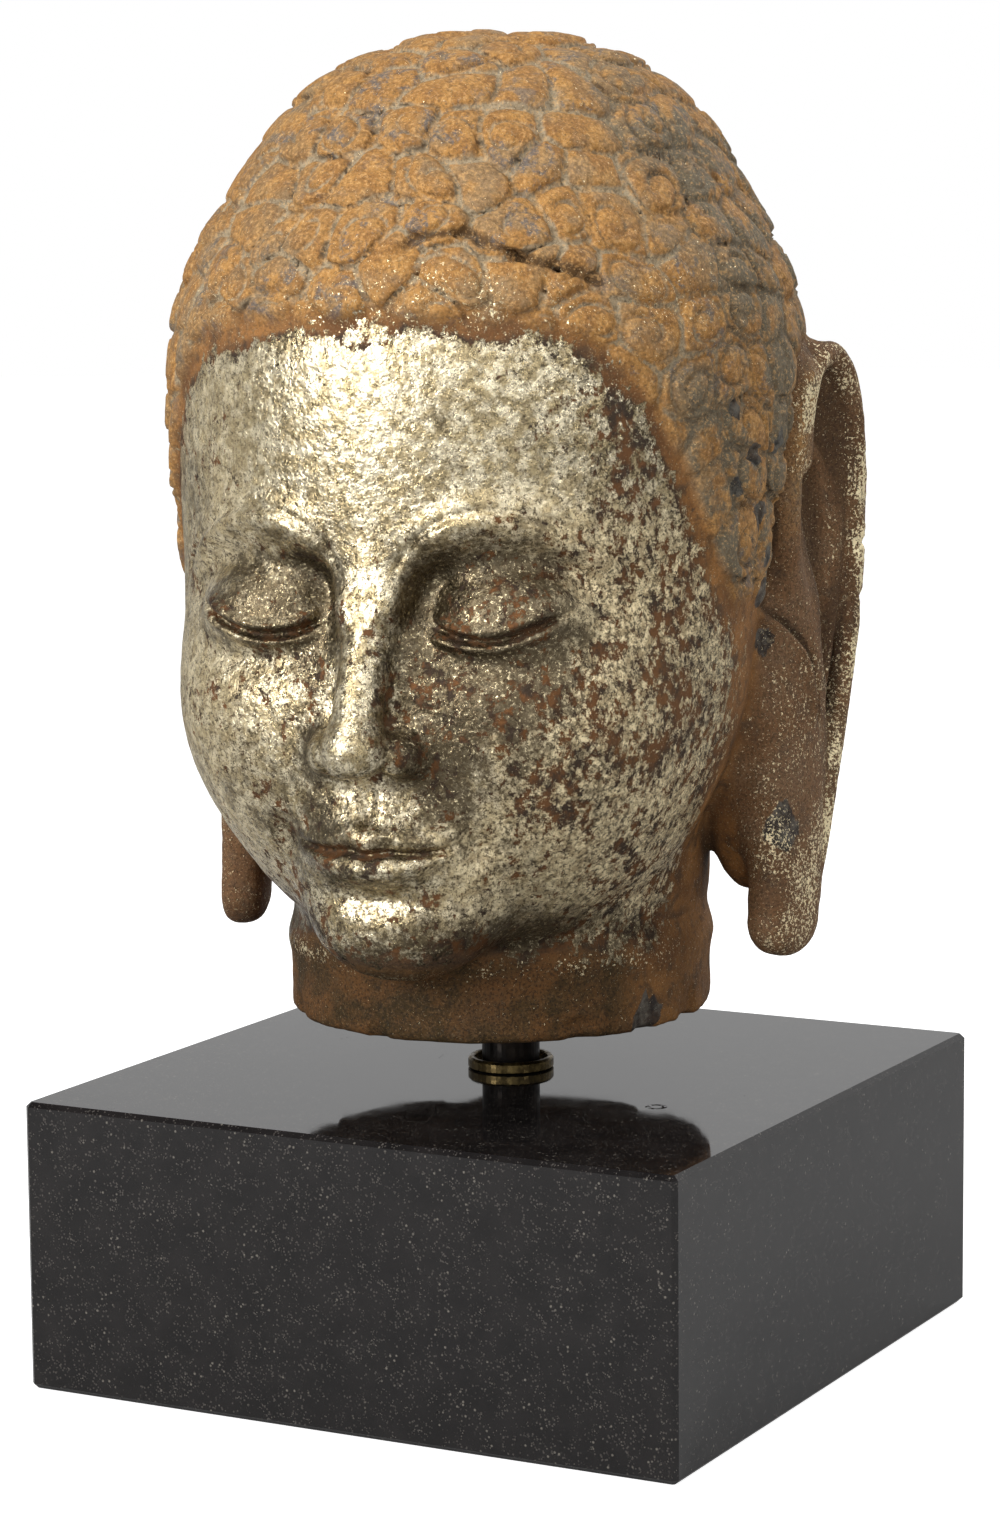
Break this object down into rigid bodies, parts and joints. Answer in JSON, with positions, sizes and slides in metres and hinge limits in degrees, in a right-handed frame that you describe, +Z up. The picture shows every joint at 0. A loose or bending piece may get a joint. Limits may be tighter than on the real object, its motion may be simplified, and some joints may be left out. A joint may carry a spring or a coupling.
{
  "type": "stone buddha head",
  "caption": "Carved stone buddha head with worn gilding, held on a short dark post above a square black granite plinth.",
  "frame": {"origin": "centre of the plinth's underside, in the plane it rests on; the post's axis rises from here", "axes": "+Z up, -Y out of the plinth's front side; the face looks out over -Y, turned 7 degrees towards +X"},
  "size_m": [0.3, 0.3309, 0.5618],
  "materials": {
    "gilt_stone": "weathered, with worn gold leaf on the face",
    "black_granite": "polished",
    "dark_metal": "satin black",
    "aged_brass": "tarnished"
  },
  "bodies": {
    "root": {"head": "gilt_stone", "plinth": "black_granite", "post": "dark_metal", "collar": "aged_brass"}
  },
  "joints": []
}
